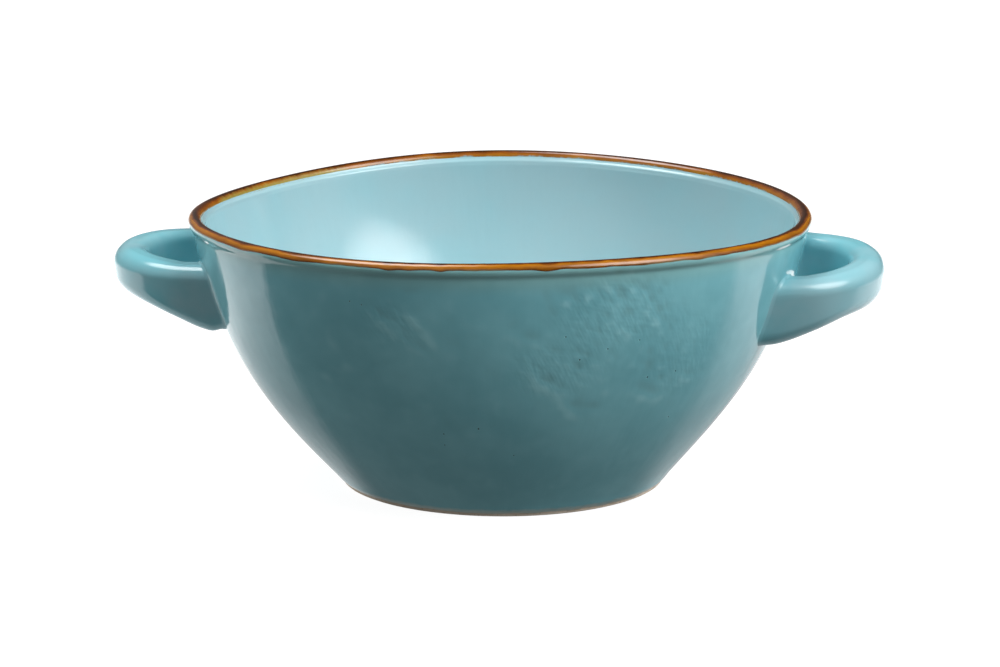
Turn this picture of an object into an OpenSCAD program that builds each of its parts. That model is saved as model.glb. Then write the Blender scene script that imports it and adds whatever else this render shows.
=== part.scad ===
// Lug soup bowl in glazed stoneware: a round bowl with a softly wavy lip, a brown glaze
// band over the lip, an unglazed foot and a flat-topped loop handle luted to each side.
// Millimetres, Z up, the handles along X. The origin is on the bowl's axis at table height.

/* [Bowl] */
// Mean height of the lip's crest above the table
rim_h = 67.9; // [58:0.1:80]
// Outer radius of the wall just under the lip
wall_r = 75.6; // [68:0.1:84]
// Outer radius of the wall where it meets the foot
foot_r = 40.4; // [34:0.1:46]
// Angle of the wall from upright where it leaves the foot, in degrees
foot_flare = 40.6; // [34:0.2:46]
// Angle of the wall from upright under the lip, in degrees
rim_flare = 9; // [3:0.5:14]
// Wall thickness near the foot
foot_wall_t = 5; // [4:0.1:6.5]
// Wall thickness just under the lip
rim_wall_t = 3.4; // [2.6:0.1:4.4]
// Thickness of the floor over the recess
floor_t = 4.6; // [3.5:0.1:7]
// How much longer the plan is along the handles than across them, on the radius
oval = 0.4; // [0:0.1:2]
// How far the foot sits off the bowl's axis, towards the right handle
foot_shift = 0.7; // [0:0.1:2]
// Height over which the lower wall bends back onto the bowl's axis
shift_h = 20; // [12:1:30]

/* [Lip] */
// Radius of the lip's full round
lip_r = 1.7; // [1.3:0.1:2.2]
// How far the lip stands out past the wall under it
lip_out = 0.7; // [0.2:0.1:1.2]
// Height over which the wall rolls out into the lip
lip_roll_h = 1.6; // [1:0.1:2.5]
// Thickness of the brown glaze over the lip
glaze_t = 0.4; // [0.3:0.05:0.6]
// Height of the main rise and dip of the lip, front and back over the handles
wave_h = 0.95; // [0:0.05:2]

/* [Foot] */
// Height of the unglazed foot below the glaze
foot_h = 0.8; // [0.6:0.1:2]
// Width of the ring that stands on the table
foot_w = 5.4; // [4:0.1:8]
// Depth of the recess under the floor, from the table
recess_h = 2.4; // [2:0.1:4]
// Radius that softens the foot's two bottom edges
foot_edge_r = 0.4; // [0.2:0.05:0.5]

/* [Handles] */
// Clear depth of the right handle's finger gap, from the wall to the strap's tip
right_gap = 14; // [10:0.1:18]
// Clear depth of the left handle's finger gap, from the wall to the strap's tip
left_gap = 15.2; // [10:0.1:18]
// How far the handles' flat top lies below the lip's mean crest
lug_drop = 10.9; // [8:0.1:18]
// Width over both strands of a handle at the wall
lug_w = 53; // [44:0.5:60]
// Thickness of a strand at the wall
strand_t = 9.2; // [7.6:0.1:11]
// Thickness of the strap at the tip
tip_t = 8.8; // [7.6:0.1:11]
// Height of the strap at the tip
tip_h = 11; // [8:0.1:13]
// How much taller the strap grows downwards from the tip to the wall
root_drop = 7.2; // [3:0.2:9]
// How far the outer face leans in from top to bottom
face_lean = 0.9; // [0:0.1:2]
// Radius of the strap's top edges
top_edge_r = 3; // [2:0.1:4]
// Radius of the strap's inner bottom edge
bottom_edge_r = 2; // [1:0.1:3]
// Radius of the strap's outer bottom edge
belly_edge_r = 4.4; // [2:0.1:5.4]
// Extra thickness that each strand spreads to, outwards, where it meets the wall
root_spread = 4; // [0:0.1:5]
// Tilt of the left handle, its back strand standing higher, in degrees
left_tilt = 0.1; // [0:0.1:3]
// Tilt of the right handle, its front strand hanging lower, in degrees
right_tilt = 2.7; // [0:0.1:4]
// Radius of the slip fillets where the strands meet the wall
slip_r = 2.6; // [1.5:0.1:3.5]

/* [Hidden] */

glaze_col = [0.52, 0.70, 0.75];
brown_col = [0.62, 0.33, 0.12];
clay_col = [0.72, 0.65, 0.57];

// Steps round the bowl, and the rows of each stretch of its section
round_steps = 64;
wall_rows = 13;
inner_rows = 11;
floor_rows = 6;
lip_rows = 8;

// The outer wall is one curve from the foot to the lip. Each end pulls along its own
// slope by a share of the straight line between them.
foot_pull_share = 0.256;
rim_pull_share = 0.467;
neck_z = rim_h - lip_r - lip_roll_h / 2;
foot_pt = [foot_r, foot_h];
neck_pt = [wall_r, neck_z];
wall_chord = norm(neck_pt - foot_pt);
foot_pull = wall_chord * foot_pull_share;
rim_pull = wall_chord * rim_pull_share;
wall_curve = [
    foot_pt,
    foot_pt + foot_pull * [sin(foot_flare), cos(foot_flare)],
    neck_pt - rim_pull * [sin(rim_flare), cos(rim_flare)],
    neck_pt
];

function lerp(a, b, t) = a + (b - a) * t;
function smooth(t) = let (c = min(1, max(0, t))) c * c * (3 - 2 * c);
function bezier(p, t) = let (s = 1 - t)
    s * s * s * p[0] + 3 * s * s * t * p[1] + 3 * s * t * t * p[2] + t * t * t * p[3];
function bezier_dir(p, t) = let (s = 1 - t,
    d = s * s * (p[1] - p[0]) + 2 * s * t * (p[2] - p[1]) + t * t * (p[3] - p[2])) d / norm(d);

// The wall thins from the foot to the lip, and its inside is the outer curve set in by
// that thickness. It leaves the curve at floor_from_share and rounds into the floor.
floor_from_share = 0.27;
floor_pull_share = 0.8;
floor_flat_share = 0.5;
floor_z = recess_h + floor_t;
function thick(t) = lerp(foot_wall_t, rim_wall_t, t);
function inner_pt(t) = let (d = bezier_dir(wall_curve, t)) bezier(wall_curve, t) + thick(t) * [-d[1], d[0]];
floor_start = inner_pt(floor_from_share);
floor_slope = bezier_dir(wall_curve, floor_from_share);
floor_turn = (floor_start[1] - floor_z) / floor_slope[1];
floor_curve = [
    floor_start,
    floor_start - floor_turn * floor_pull_share * floor_slope,
    [floor_start[0] * floor_flat_share, floor_z],
    [0, floor_z]
];

// The lip is a full round. The brown band covers it between two angles, and the wall
// carries a step of the glaze's thickness under the band.
lip_pt = [wall_r + lip_out - lip_r, rim_h - lip_r];
band_from = 10;
band_to = 176;
roll_from = -32;
function on_lip(a, r) = lip_pt + r * [cos(a), sin(a)];

// Section of the wall, up the outside, over the lip, down the inside and back below.
// The two ends lie on the axis and are closed by single points.
foot_in_r = foot_r - foot_w;
recess_step_share = 0.97;
wall_section = concat(
    [[foot_in_r * recess_step_share, recess_h], [foot_in_r, foot_h]],
    [for (i = [0 : wall_rows]) bezier(wall_curve, i / wall_rows)],
    [on_lip(roll_from, lip_r), on_lip(band_from, lip_r)],
    [for (i = [0 : lip_rows]) on_lip(lerp(band_from, band_to, i / lip_rows), lip_r - glaze_t)],
    [on_lip(band_to, lip_r)],
    [for (i = [0 : inner_rows]) inner_pt(lerp(1, floor_from_share, i / inner_rows))],
    [for (i = [1 : floor_rows - 1]) bezier(floor_curve, i / floor_rows)]
);
band_section = [
    for (r = [lip_r, lip_r - glaze_t], i = [0 : lip_rows]) on_lip(lerp(band_from, band_to, i / lip_rows), r)
];

// The lip rises and falls round the bowl: a main wave of two turns, with a one-sided
// lean and two smaller ripples as shares of it. The wave fades to nothing at the foot.
wave_turns = [1, 2, 3, 4];
wave_shares = [0.5, 1, 0.35, 0.27];
wave_from = [-25, 173, -105, 76];
function wave(a, i = 0) = i == len(wave_turns) ? 0 :
    wave_h * wave_shares[i] * cos(wave_turns[i] * a - wave_from[i]) + wave(a, i + 1);
function lean(z) = foot_shift * pow(max(0, 1 - z / shift_h), 2);
function place(p, a) = let (up = p[1] / rim_h, r = p[0] + oval / 2 * up * cos(2 * a))
    [r * cos(a) + lean(p[1]), r * sin(a), p[1] + wave(a) * up * up];

// Faces of a skin over rings of points, rows by cols, wound so that the outside faces
// out when each ring runs anticlockwise and the rows climb the outside.
function skin(rows, cols, first = 0, close = true) = [
    for (j = [0 : rows - 2], i = [0 : close ? cols - 1 : cols - 2])
        let (a = first + j * cols + i, b = first + j * cols + (i + 1) % cols, c = a + cols, d = b + cols)
            each [[a, c, b], [b, c, d]]
];
function flip(faces) = [for (f = faces) [for (i = [len(f) - 1 : -1 : 0]) f[i]]];

// Faces of a shell: an outer skin, an inner one with the same rows, and the two ends.
function shell(rows, cols) = concat(
    skin(rows, cols),
    flip(skin(rows, cols, rows * cols)),
    [for (i = [0 : cols - 1]) let (a = i, b = (i + 1) % cols, in = rows * cols)
        each [[a, b, b + in], [a, b + in, a + in]]],
    [for (i = [0 : cols - 1]) let (c = (rows - 1) * cols + i, d = (rows - 1) * cols + (i + 1) % cols,
        in = rows * cols) each [[d, c, c + in], [d, c + in, d + in]]]
);
function fan(tip, from, cols, up) = [
    for (i = [0 : cols - 1]) let (a = from + i, b = from + (i + 1) % cols) up ? [tip, b, a] : [tip, a, b]
];

module bowl_wall() {
    rows = len(wall_section);
    rings = [for (p = wall_section, i = [0 : round_steps - 1]) place(p, i * 360 / round_steps)];
    under = [lean(recess_h), 0, recess_h];
    over = [lean(floor_z), 0, floor_z];
    color(glaze_col) polyhedron(
        concat(rings, [under, over]),
        concat(
            skin(rows, round_steps),
            fan(rows * round_steps, 0, round_steps, false),
            fan(rows * round_steps + 1, (rows - 1) * round_steps, round_steps, true)
        )
    );
}

module rim_band() {
    color(brown_col) polyhedron(
        [for (p = band_section, i = [0 : round_steps - 1]) place(p, i * 360 / round_steps)],
        shell(lip_rows + 1, round_steps)
    );
}

module foot_ring() {
    // The outer face goes on down at the wall's own slope to the softened bottom edge.
    out_low = foot_r - (foot_h - foot_edge_r) * tan(foot_flare);
    edge_steps = 4;
    arc = [for (i = [0 : edge_steps]) 90 * i / edge_steps];
    color(clay_col) translate([lean(foot_h), 0, 0]) rotate_extrude($fn = round_steps)
        polygon(concat(
            [[foot_r, foot_h], [foot_in_r, foot_h]],
            [for (a = arc) [foot_in_r, 0] + foot_edge_r * [1 - cos(a), 1 - sin(a)]],
            [for (a = arc) [out_low, 0] + foot_edge_r * [sin(a) - 1, 1 - cos(a)]]
        ));
}

// Outer face of the wall: its radius at a height, and how far out along X it lies at a
// point of a handle, given by the distance y off the handle's middle and the height z.
// The side is the direction of the handle, 0 for the right one and 180 for the left.
wall_table = [for (i = [0 : 4 * wall_rows]) let (p = bezier(wall_curve, i / (4 * wall_rows))) [p[1], p[0]]];
function wall_x(y, z, side) = let (
    up = z / rim_h, a = side + atan2(y, lookup(z, wall_table)),
    r = lookup(z - wave(a) * up * up, wall_table)
) sqrt(max(0, r * r - y * y)) + oval / 2 * up;

// A handle's middle line is half an ellipse that springs from the wall. Its stations
// crowd towards the wall, where the slip collars need them.
stations = 13;
crowd = 1.6;
embed = 3;
strand_y = (lug_w - strand_t) / 2;
lug_top = rim_h - lug_drop;
lug_mid_z = lug_top - (tip_h + root_drop) / 2;
drop_power = 2.2;
drop_ease_share = 0.1;
ease_power = 11;
spread_power = 10;
hug_share = 0.45;
function turn(k) = let (s = k < 0 ? -1 : 1) s * 90 * (1 - pow(1 - abs(k) / stations, crowd));
corner_steps = 4;
under_share = 0.2;

// Outline of the strap across its run, as [outwards, up] pairs, for a top width, a
// height, and a growth that the slip collars add all round.
function strap_outline(w, h, grow) = let (
    rt = top_edge_r + grow, rb = bottom_edge_r + grow, ro = belly_edge_r + grow,
    top = grow, low = -h - grow * under_share,
    out = w / 2 + grow, out_low = out - face_lean, inn = -w / 2 - grow,
    corners = [[out - rt, top - rt, rt, 0], [inn + rt, top - rt, rt, 90],
        [inn + rb, low + rb, rb, 180], [out_low - ro, low + ro, ro, 270]]
) [for (c = corners, i = [0 : corner_steps]) let (a = c[3] + 90 * i / corner_steps)
    [c[0] + c[2] * cos(a), c[1] + c[2] * sin(a)]];

// One ring of the strap at station k, from -stations at one strand to +stations at the
// other. Near the wall the ring bends to follow the wall's own curve.
function root_x(side) = wall_x(strand_y, lug_mid_z, side);
function run_of(gap, side) = wall_x(0, lug_mid_z, side) + gap + tip_t / 2 - root_x(side);
function strap_ring(k, gap, side, grow = 0, sunk = 0) = let (
    a = turn(k), run = run_of(gap, side), root = root_x(side),
    n = [cos(a) / run, sin(a) / strand_y], out = n / norm(n),
    back = 1 - cos(a),
    spread = root_spread * pow(back, spread_power),
    mid = [root + run * cos(a) - sunk, strand_y * sin(a)] + out * spread / 2,
    h = tip_h + root_drop * pow(back, drop_power) * (1 - drop_ease_share * pow(back, ease_power)),
    w = lerp(tip_t, strand_t, back) + spread,
    hug = 1 - smooth(cos(a) / hug_share)
) [for (p = strap_outline(w, h, grow)) let (q = mid + p[0] * out, z = lug_top + p[1])
    [q[0] + hug * (wall_x(q[1], z, side) - root), q[1], z]];

ring_pts = 4 * (corner_steps + 1);

module strap(gap, side) {
    rings = concat(
        [strap_ring(-stations, gap, side, 0, embed)],
        [for (k = [-stations : stations]) strap_ring(k, gap, side)],
        [strap_ring(stations, gap, side, 0, embed)]
    );
    rows = len(rings);
    polyhedron(
        [for (r = rings) each r],
        flip(concat(
            skin(rows, ring_pts),
            [[for (i = [0 : ring_pts - 1]) i]],
            [[for (i = [ring_pts - 1 : -1 : 0]) (rows - 1) * ring_pts + i]]
        ))
    );
}

// The slip collar round one strand: its inner face is the strap's own, and its outer
// face is a hollow fillet that dies out along the strand.
slip_stations = 4;
slip_edge_t = 0.12;
function slip_grow(d) = let (c = max(0, 1 - d / slip_r))
    max(slip_edge_t, slip_r * (1 - sqrt(max(0, 1 - c * c))));

module slip_collar(gap, side, strand) {
    run = run_of(gap, side);
    // The rows run the same way as the strap's own, so that the facets match.
    steps = [for (i = [0 : slip_stations]) strand < 0 ? i : slip_stations - i];
    rings = [for (inner = [false, true]) let (
        root = strap_ring(strand * stations, gap, side, inner ? 0 : slip_r, embed),
        rest = [for (i = steps) let (k = strand * (stations - i))
            strap_ring(k, gap, side, inner ? 0 : slip_grow(run * cos(turn(k))))]
    ) each strand < 0 ? concat([root], rest) : concat(rest, [root])];
    polyhedron([for (r = rings) each r], flip(shell(slip_stations + 2, ring_pts)));
}

// The stretch of the wall behind a handle, with the wall's own facets on its outer side,
// that a handle and its slip are cut back to.
patch_steps = 7;
patch_depth = 12;
patch_from = 5;
module wall_patch(side) {
    rows = [for (i = [patch_from : wall_rows]) bezier(wall_curve, i / wall_rows)];
    cols = 2 * patch_steps + 1;
    function ring(p) = [for (i = [-patch_steps : patch_steps]) place(p, side + i * 360 / round_steps)];
    outer = [for (p = rows) each ring(p)];
    inner = [for (p = rows) each ring(p - [patch_depth, 0])];
    n = len(rows);
    all = n * cols;
    rim = concat(
        [for (i = [0 : cols - 1]) i],
        [for (j = [1 : n - 1]) j * cols + cols - 1],
        [for (i = [cols - 2 : -1 : 0]) (n - 1) * cols + i],
        [for (j = [n - 2 : -1 : 1]) j * cols]
    );
    polyhedron(
        concat(outer, inner),
        concat(
            skin(n, cols, 0, false),
            flip(skin(n, cols, all, false)),
            [for (i = [0 : len(rim) - 1]) let (a = rim[i], b = rim[(i + 1) % len(rim)])
                each [[a, b, b + all], [a, b + all, a + all]]]
        )
    );
}

// What belongs to a handle is drawn towards +X and turned to its side, and it tilts
// about a line along X through its own middle.
module set_on(side, tilt) {
    difference() {
        rotate([0, 0, side]) translate([0, 0, lug_mid_z]) rotate([tilt, 0, 0])
            translate([0, 0, -lug_mid_z]) children();
        wall_patch(side);
    }
}

module left_lug() {
    color(glaze_col) set_on(180, -left_tilt) strap(left_gap, 180);
}

module right_lug() {
    color(glaze_col) set_on(0, right_tilt) strap(right_gap, 0);
}

module left_lug_slip() {
    color(glaze_col) set_on(180, -left_tilt) for (strand = [-1, 1]) slip_collar(left_gap, 180, strand);
}

module right_lug_slip() {
    color(glaze_col) set_on(0, right_tilt) for (strand = [-1, 1]) slip_collar(right_gap, 0, strand);
}

bowl_wall();
rim_band();
foot_ring();
left_lug();
right_lug();
left_lug_slip();
right_lug_slip();
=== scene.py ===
import logging
from dataclasses import dataclass, field
from enum import Enum
from math import acos, copysign, cos, pi, radians, sin, sqrt, tan

import bmesh
import bpy
import numpy as np
from bmesh.types import BMEdge, BMesh, BMVert
from mathutils import Matrix, Vector, noise


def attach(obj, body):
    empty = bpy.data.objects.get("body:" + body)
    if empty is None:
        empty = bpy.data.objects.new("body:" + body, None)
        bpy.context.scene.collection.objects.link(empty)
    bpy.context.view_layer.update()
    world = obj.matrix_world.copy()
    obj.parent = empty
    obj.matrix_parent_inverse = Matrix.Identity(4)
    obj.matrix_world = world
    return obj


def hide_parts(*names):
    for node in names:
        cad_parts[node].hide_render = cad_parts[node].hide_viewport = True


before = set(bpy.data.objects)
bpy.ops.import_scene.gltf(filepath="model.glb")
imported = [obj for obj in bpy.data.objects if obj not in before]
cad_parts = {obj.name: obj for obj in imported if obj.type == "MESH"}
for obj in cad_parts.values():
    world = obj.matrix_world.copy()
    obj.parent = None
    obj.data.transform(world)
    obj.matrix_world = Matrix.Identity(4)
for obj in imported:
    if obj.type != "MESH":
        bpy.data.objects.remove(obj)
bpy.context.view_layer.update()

# A glazed stoneware soup bowl with a wavy, brown-banded lip, a bare foot and a loop
# handle on each side. The fixed frame gives every size; here each piece is built again
# with finer faces, the glaze's runs and wrinkles, and its finish. Shapes are worked out
# in millimetres and placed in metres. The camera and the lights stand VIEW_TURN round
# the bowl, and a length along its wall is measured at the radius GIRTH_R.

MM = 0.001
VIEW_TURN = radians(4.3)
GIRTH_R = 75.0

log = logging.getLogger("bowl")
Numbers = float | np.ndarray
Colour = tuple[float, float, float, float]
Socket = bpy.types.NodeSocket
Input = Socket | float | tuple[float, ...]


def lerp(a: Numbers, b: Numbers, t: Numbers) -> Numbers:
    """The value a share t of the way from a to b."""
    return a + (b - a) * t


def smooth(t: Numbers) -> Numbers:
    """An eased step from 0 to 1 while t goes from 0 to 1."""
    c = np.clip(t, 0.0, 1.0)
    return c * c * (3 - 2 * c)


def hump(x: Numbers) -> Numbers:
    """A soft bump of height 1 at 0 that is nearly gone at 1."""
    return np.exp(-2 * np.square(x))


def bezier(p: np.ndarray, t: float) -> np.ndarray:
    """A point of a cubic curve.

    Args:
        p: the four control points.
        t: the share of the way along, from 0 to 1.

    Returns:
        The point.
    """
    s = 1 - t
    return s**3 * p[0] + 3 * s * s * t * p[1] + 3 * s * t * t * p[2] + t**3 * p[3]


def bezier_dir(p: np.ndarray, t: float) -> np.ndarray:
    """The direction of a cubic curve, of length 1.

    Args:
        p: the four control points.
        t: the share of the way along, from 0 to 1.

    Returns:
        The direction.
    """
    s = 1 - t
    d = s * s * (p[1] - p[0]) + 2 * s * t * (p[2] - p[1]) + t * t * (p[3] - p[2])
    return d / np.linalg.norm(d)


def swell(x: Numbers, y: Numbers, z: Numbers) -> np.ndarray:
    """A smooth irregular value at each point, from about -1 to 1."""
    points = np.stack(np.broadcast_arrays(x, y, z), axis=1)
    return np.array([noise.noise(p) for p in points.tolist()])


def ripple(turn: np.ndarray, seed: float, scale: float) -> np.ndarray:
    """Smooth irregular values round the bowl that close on themselves.

    Args:
        turn: the angles round the bowl, in radians.
        seed: which ripple to take.
        scale: how many swells it has, about.

    Returns:
        Values from about -1 to 1.
    """
    return swell(np.cos(turn) * scale, np.sin(turn) * scale, seed)


def girth_at(turn: float) -> float:
    """How far round the wall an angle in degrees lies, in millimetres."""
    return radians(turn) * GIRTH_R


def add_object(name: str, data: bpy.types.ID) -> bpy.types.Object:
    """Adds an object to the scene that shows a mesh, lamp or camera.

    Args:
        name: the object's name.
        data: what it shows.

    Returns:
        The object.
    """
    made = bpy.data.objects.new(name, data)
    bpy.context.scene.collection.objects.link(made)
    return made


class Side(Enum):
    """The side that a handle is on, by the angle it points at."""

    RIGHT = 0
    LEFT = 180


@dataclass(frozen=True)
class BowlForm:
    """The bowl's own shape, in millimetres and degrees, as the fixed frame has it."""

    rim_h: float = 67.9
    wall_r: float = 75.6
    foot_r: float = 40.4
    foot_flare: float = 40.6
    rim_flare: float = 9.0
    foot_pull: float = 0.256
    rim_pull: float = 0.467
    foot_wall_t: float = 5.0
    rim_wall_t: float = 3.4
    floor_t: float = 4.6
    floor_from: float = 0.27
    oval: float = 0.4
    foot_shift: float = 0.7
    shift_h: float = 20.0
    lip_r: float = 1.7
    lip_out: float = 0.7
    lip_roll_h: float = 1.6
    glaze_t: float = 0.4
    wave_h: float = 0.95
    foot_h: float = 0.8
    foot_w: float = 5.4
    recess_h: float = 2.4
    band_from: float = 10.0
    band_to: float = 176.0
    wave_turns: tuple[int, ...] = (1, 2, 3, 4)
    wave_shares: tuple[float, ...] = (0.5, 1.0, 0.35, 0.27)
    wave_from: tuple[float, ...] = (-25.0, 173.0, -105.0, 76.0)

    def wall_curve(self) -> np.ndarray:
        """The four control points of the wall's outer face, from the foot to the neck.

        Returns:
            The points, each a radius and a height.
        """
        neck = np.array([self.wall_r, self.rim_h - self.lip_r - self.lip_roll_h / 2])
        foot = np.array([self.foot_r, self.foot_h])
        chord = float(np.linalg.norm(neck - foot))
        low, high = radians(self.foot_flare), radians(self.rim_flare)
        return np.array([
            foot,
            foot + self.foot_pull * chord * np.array([sin(low), cos(low)]),
            neck - self.rim_pull * chord * np.array([sin(high), cos(high)]),
            neck,
        ])

    def inner_pt(self, t: float) -> np.ndarray:
        """A point of the wall's inner face, a share t of the way up.

        Args:
            t: the share of the way along the wall's curve.

        Returns:
            The point's radius and height.
        """
        d = bezier_dir(self.wall_curve(), t)
        wall_t = lerp(self.foot_wall_t, self.rim_wall_t, t)
        return bezier(self.wall_curve(), t) + wall_t * np.array([-d[1], d[0]])

    def floor_curve(self) -> np.ndarray:
        """The four control points of the rounding from the inner wall to the floor.

        Returns:
            The points, each a radius and a height.
        """
        floor_z = self.recess_h + self.floor_t
        start = self.inner_pt(self.floor_from)
        slope = bezier_dir(self.wall_curve(), self.floor_from)
        fall = (start[1] - floor_z) / slope[1]
        return np.array([
            start,
            start - fall * 0.8 * slope,
            [start[0] * 0.5, floor_z],
            [0.0, floor_z],
        ])

    def on_lip(self, angle: float) -> np.ndarray:
        """A point of the lip's round, at an angle in degrees from straight out."""
        middle = np.array([self.wall_r + self.lip_out - self.lip_r, self.rim_h - self.lip_r])
        return middle + self.lip_r * np.array([cos(radians(angle)), sin(radians(angle))])

    @staticmethod
    def lip_dir(angle: float) -> np.ndarray:
        """The direction of the lip's round at an angle, upwards from outside to inside."""
        return np.array([-sin(radians(angle)), cos(radians(angle))])

    def wave(self, a: Numbers) -> Numbers:
        """How far the lip rises above its mean height.

        Args:
            a: the angle or angles round the bowl, in radians.

        Returns:
            The rise at each, in millimetres.
        """
        return sum(
            self.wave_h * share * np.cos(turn * a - radians(start))
            for turn, share, start in zip(self.wave_turns, self.wave_shares, self.wave_from)
        )

    def lean(self, z: Numbers) -> Numbers:
        """How far the foot lies off the lip's axis at a height."""
        return self.foot_shift * np.maximum(0.0, 1 - z / self.shift_h) ** 2

    def place(self, r: np.ndarray, z: np.ndarray, a: np.ndarray) -> np.ndarray:
        """Puts points of the section on the bowl.

        Args:
            r: their distances from the axis.
            z: their heights.
            a: their angles round the bowl, in radians.

        Returns:
            The points in metres, a row for each.
        """
        up = z / self.rim_h
        out = r + self.oval / 2 * up * np.cos(2 * a)
        x, y, h = out * np.cos(a) + self.lean(z), out * np.sin(a), z + self.wave(a) * up * up
        return np.stack([x, y, h], axis=1) * MM


@dataclass
class Section:
    """A fine outline of the wall, its lip and its floor, measured along its own length.

    The length counts from the lower outer edge of the brown band, upwards and inwards.
    The neck joins the outer face to the lip's round, and the tuck joins that to the inner
    face; both are placed by shares of the wall's curve and degrees round the lip.
    """

    form: BowlForm
    neck_from: float = 0.985
    neck_pull: float = 0.4
    lip_from: float = -25.0
    lip_to: float = 172.0
    tuck_to: float = 0.994
    tuck_pull: float = 0.35
    outer_count: int = 700
    lip_count: int = 500
    inner_count: int = 500
    floor_count: int = 300
    points: np.ndarray = field(init=False)
    run: np.ndarray = field(init=False)
    normals: np.ndarray = field(init=False)
    band: float = field(init=False)

    def __post_init__(self) -> None:
        """Works out the outline, its lengths and the directions square to it."""
        form = self.form
        curve = form.wall_curve()
        outer = [bezier(curve, t) for t in np.linspace(0, self.neck_from, self.outer_count)]
        neck = self.bend(
            bezier(curve, self.neck_from), bezier_dir(curve, self.neck_from),
            form.on_lip(self.lip_from), form.lip_dir(self.lip_from), self.neck_pull,
        )
        lip = [form.on_lip(a) for a in np.linspace(self.lip_from, self.lip_to, self.lip_count)]
        tuck = self.bend(
            lip[-1], form.lip_dir(self.lip_to),
            form.inner_pt(self.tuck_to), -bezier_dir(curve, self.tuck_to), self.tuck_pull,
        )
        inner = [form.inner_pt(t) for t in np.linspace(self.tuck_to, form.floor_from, self.inner_count)]
        bottom = [bezier(form.floor_curve(), t) for t in np.linspace(0, 1, self.floor_count)]
        chain = np.array(outer + neck[1:] + lip[1:] + tuck[1:] + inner[1:] + bottom[1:])
        steps = np.linalg.norm(np.diff(chain, axis=0), axis=1)
        along = np.concatenate([[0], np.cumsum(steps)])
        slope = np.gradient(chain, along, axis=0)
        slope /= np.linalg.norm(slope, axis=1)[:, None]
        edge = int(np.argmin(np.linalg.norm(chain - form.on_lip(form.band_from), axis=1)))
        self.points = chain
        self.run = along - along[edge]
        self.normals = np.stack([slope[:, 1], -slope[:, 0]], axis=1)
        self.band = radians(form.band_to - form.band_from) * form.lip_r

    @staticmethod
    def bend(
        start: np.ndarray, start_dir: np.ndarray, end: np.ndarray, end_dir: np.ndarray,
        pull: float, count: int = 60,
    ) -> list[np.ndarray]:
        """A short smooth join between two stretches of the outline.

        Args:
            start: where it leaves.
            start_dir: the direction it leaves in.
            end: where it arrives.
            end_dir: the direction it arrives in.
            pull: how far the ends keep their direction, as a share of the gap.
            count: how many points it has.

        Returns:
            The points of the join.
        """
        gap = float(np.linalg.norm(end - start))
        p = np.array([start, start + pull * gap * start_dir, end - pull * gap * end_dir, end])
        return [bezier(p, t) for t in np.linspace(0, 1, count)]

    def at(self, s: np.ndarray, offset: Numbers = 0.0) -> tuple[np.ndarray, np.ndarray]:
        """Points at lengths along the outline.

        Args:
            s: the lengths from the band's lower outer edge.
            offset: how far off the outline, outwards from the clay.

        Returns:
            The points' radii and heights.
        """
        r, z = (np.interp(s, self.run, self.points[:, i]) for i in (0, 1))
        nr, nz = (np.interp(s, self.run, self.normals[:, i]) for i in (0, 1))
        return r + nr * offset, z + nz * offset

    def outer_r(self, z: np.ndarray) -> np.ndarray:
        """The radius of the wall's outer face at heights."""
        outer = self.points[: self.outer_count]
        return np.interp(z, outer[:, 1], outer[:, 0])


def turn_round(section: list[tuple[float, float]], steps: int, closed: bool, wedges: int = 10) -> BMesh:
    """Turns a section once round the Z axis: one wedge is spun, then repeated and joined.

    Args:
        section: the radius and height of each of its points, in order.
        steps: the faces in a full turn, a multiple of the wedges.
        closed: whether its last point joins its first.
        wedges: how many wedges make the turn.

    Returns:
        The turned shape, in the section's own unit.
    """
    bm = bmesh.new()
    chain = [bm.verts.new((r, 0, z)) for r, z in section]
    after = chain[1:] + (chain[:1] if closed else [])
    edges = [bm.edges.new(pair) for pair in zip(chain, after)]
    share = 2 * pi / wedges
    bmesh.ops.spin(
        bm, geom=chain + edges, cent=(0, 0, 0), axis=(0, 0, 1), dvec=(0, 0, 0),
        angle=share, steps=steps // wedges, use_merge=False, use_duplicate=False,
    )
    wedge = bm.verts[:] + bm.edges[:] + bm.faces[:]
    for k in range(1, wedges):
        copy = bmesh.ops.duplicate(bm, geom=wedge)["geom"]
        verts = [v for v in copy if isinstance(v, BMVert)]
        bmesh.ops.rotate(bm, verts=verts, cent=(0, 0, 0), matrix=Matrix.Rotation(share * k, 3, "Z"))
    bmesh.ops.remove_doubles(bm, verts=bm.verts, dist=0.002)
    return bm


def polar(bm: BMesh) -> tuple[np.ndarray, np.ndarray, np.ndarray]:
    """The angle in radians, the radius and the height of each point of a shape."""
    co = np.array([v.co for v in bm.verts], float)
    return np.arctan2(co[:, 1], co[:, 0]), np.hypot(co[:, 0], co[:, 1]), co[:, 2]


def gather(items: bpy.types.bpy_prop_collection, name: str, kind: type, size: int = 1) -> np.ndarray:
    """Reads a value, or a row of values, from each of a mesh's items.

    Args:
        items: the mesh's points, corners or faces.
        name: the value's name.
        kind: the type of the numbers.
        size: how many numbers an item has.

    Returns:
        The numbers, one after the other.
    """
    found = np.zeros(len(items) * size, kind)
    items.foreach_get(name, found)
    return found


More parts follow.
